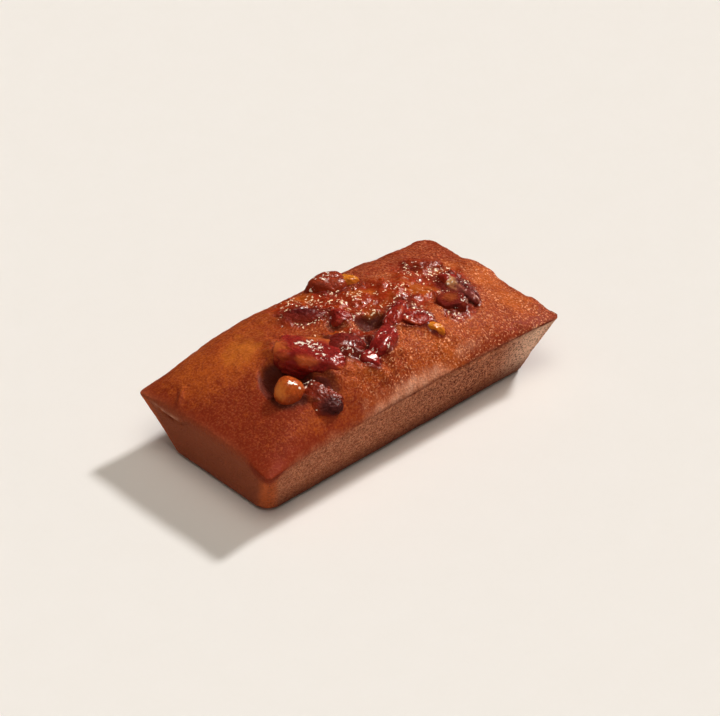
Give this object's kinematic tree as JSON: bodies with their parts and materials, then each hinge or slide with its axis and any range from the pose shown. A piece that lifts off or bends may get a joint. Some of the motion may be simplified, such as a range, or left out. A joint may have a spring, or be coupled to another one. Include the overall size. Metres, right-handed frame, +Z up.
{
  "type": "financier cake",
  "caption": "Small ingot-shaped almond cake with sloping sides and a domed brown crust that holds chopped nuts under a sticky syrup glaze.",
  "frame": {"origin": "centre of the flat base, on the surface the cake rests on", "axes": "+X along the cake's length, +Y across it, +Z up through the domed crust"},
  "size_m": [0.09, 0.0438, 0.0307],
  "materials": {
    "crust": "baked brown crust, satin on top and matt on the sides",
    "pecan": "red-brown nut under a wet syrup glaze",
    "dark_nut": "dark wrinkled nut skin under a wet syrup glaze",
    "kernel": "pale broken nut flesh under a thin glaze",
    "hazelnut": "toasted nut under a wet syrup glaze"
  },
  "bodies": {
    "root": {"cake": "crust", "pecan_front": "pecan", "hazelnut_front": "hazelnut", "walnut_front": "dark_nut", "pecan_left": "dark_nut", "pecan_left_tip": "pecan", "pecan_rear": "pecan", "kernel_rear": "kernel", "pecan_middle": "pecan", "pecan_ridge": "pecan", "pecan_spur": "pecan", "pecan_knob": "pecan", "pecan_flat": "pecan", "kernel_right": "kernel", "pecan_far": "pecan", "pecan_plug": "pecan", "pecan_shell": "dark_nut", "pecan_cube": "pecan"}
  },
  "joints": []
}
